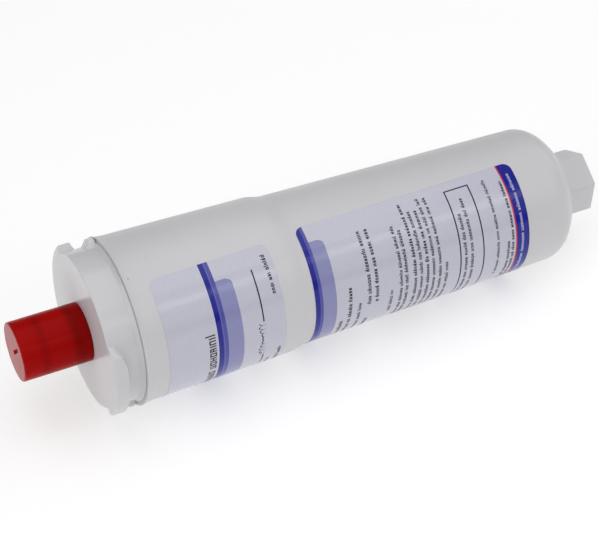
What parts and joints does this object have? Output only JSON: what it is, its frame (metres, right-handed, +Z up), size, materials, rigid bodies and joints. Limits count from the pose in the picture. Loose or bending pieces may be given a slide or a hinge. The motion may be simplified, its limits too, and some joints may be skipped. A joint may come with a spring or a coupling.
{
  "type": "inline water filter",
  "caption": "Inline water filter cartridge: tapered white housing with a bayonet head, stem under a red pull-off cap, hex threaded port and wrap-round labels.",
  "frame": {"origin": "centre of the threaded port's mouth, in the flat end of the hex boss", "axes": "+X along the filter's axis, out of the threaded port; -X towards the stem and its cap; +Z up, with the filter lying on its side"},
  "size_m": [0.2857, 0.0784, 0.0776],
  "materials": {
    "housing_plastic": "satin injection-moulded polypropylene, fine grain and a few dark specks",
    "head_plastic": "satin injection-moulded polypropylene, slightly glossier flat face",
    "cap_red": "glossy, slightly translucent deep red polyethylene",
    "label_film": "glossy pale lavender printed film",
    "seal_rubber": "moulded nitrile, satin",
    "carbon": "polymer-bound activated carbon, dull granular",
    "core_plastic": "natural polypropylene, satin",
    "wrap_fleece": "white nonwoven polypropylene fleece",
    "net_plastic": "extruded polyethylene netting",
    "element_plastic": "moulded polypropylene, satin",
    "hot_melt": "cured hot-melt bead, waxy",
    "foam_gasket": "closed-cell foam, matt"
  },
  "bodies": {
    "filter": {"housing": "housing_plastic", "head_cap": "head_plastic", "front_label": "label_film", "rear_label": "label_film", "stem_o_ring_1": "seal_rubber", "stem_o_ring_2": "seal_rubber", "nipple_o_ring_1": "seal_rubber", "nipple_o_ring_2": "seal_rubber", "carbon_block": "carbon", "core_tube": "core_plastic", "core_wrap": "wrap_fleece", "prefilter_wrap": "wrap_fleece", "outer_netting": "net_plastic", "inlet_end_cap": "element_plastic", "outlet_end_cap": "element_plastic", "inlet_potting": "hot_melt", "outlet_potting": "hot_melt", "element_gasket": "foam_gasket"},
    "cap": {"shipping_cap": "cap_red"}
  },
  "joints": [
    {"name": "cap_pull", "type": "slide", "parent": "filter", "child": "cap", "axis": [-1, 0, 0], "range_m": [0, 0.045]}
  ]
}
